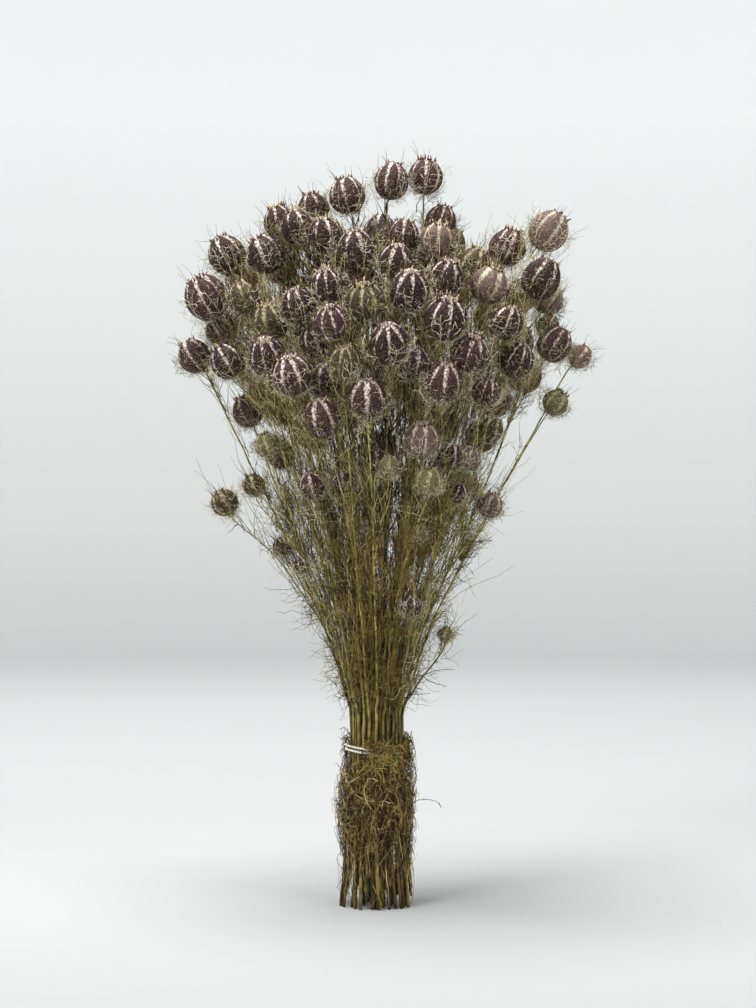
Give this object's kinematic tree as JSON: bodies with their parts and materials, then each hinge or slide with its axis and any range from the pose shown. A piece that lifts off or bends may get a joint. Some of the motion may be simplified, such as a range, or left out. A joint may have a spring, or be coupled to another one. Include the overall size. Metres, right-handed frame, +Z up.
{
  "type": "dried nigella seed pod bunch",
  "caption": "Tied bunch of dried love-in-a-mist seed pods on cut stems, standing on its stem ends, with a string tie and a mat of old leaves round its foot.",
  "frame": {"origin": "middle of the central stem's cut end, on the surface that the bunch stands on", "axes": "+Z up along the stems, +X to the right of the near side, -Y towards the near side"},
  "size_m": [0.2409, 0.2107, 0.435],
  "materials": {
    "dried_plant": "papery, dark maroon capsules with pale ridges on olive straw stems",
    "straw_stem": "dry olive straw",
    "thread_leaf": "dry olive and tan thread leaves",
    "dry_leaf_mat": "matted brown fibres",
    "string": "white cotton string"
  },
  "bodies": {
    "root": {"stem_01": "dried_plant", "stem_02": "dried_plant", "stem_03": "dried_plant", "stem_04": "dried_plant", "stem_05": "dried_plant", "stem_06": "dried_plant", "stem_07": "dried_plant", "stem_08": "dried_plant", "stem_09": "dried_plant", "stem_10": "dried_plant", "stem_11": "dried_plant", "stem_12": "dried_plant", "stem_13": "dried_plant", "stem_14": "dried_plant", "stem_15": "dried_plant", "stem_16": "dried_plant", "stem_17": "dried_plant", "stem_18": "dried_plant", "stem_19": "dried_plant", "stem_20": "dried_plant", "stem_21": "dried_plant", "stem_22": "dried_plant", "stem_23": "dried_plant", "stem_24": "dried_plant", "stem_25": "dried_plant", "stem_26": "dried_plant", "stem_27": "dried_plant", "stem_28": "dried_plant", "stem_29": "dried_plant", "stem_30": "dried_plant", "stem_31": "dried_plant", "stem_32": "dried_plant", "stem_33": "dried_plant", "stem_34": "dried_plant", "stem_35": "dried_plant", "stem_36": "dried_plant", "stem_37": "dried_plant", "stem_38": "dried_plant", "stem_39": "dried_plant", "stem_40": "dried_plant", "stem_41": "dried_plant", "stem_42": "dried_plant", "stem_43": "dried_plant", "stem_44": "dried_plant", "stem_45": "dried_plant", "stem_46": "dried_plant", "stem_47": "dried_plant", "stem_48": "dried_plant", "stem_49": "dried_plant", "tie": "string", "leaf_mat": "dry_leaf_mat"}
  },
  "joints": []
}
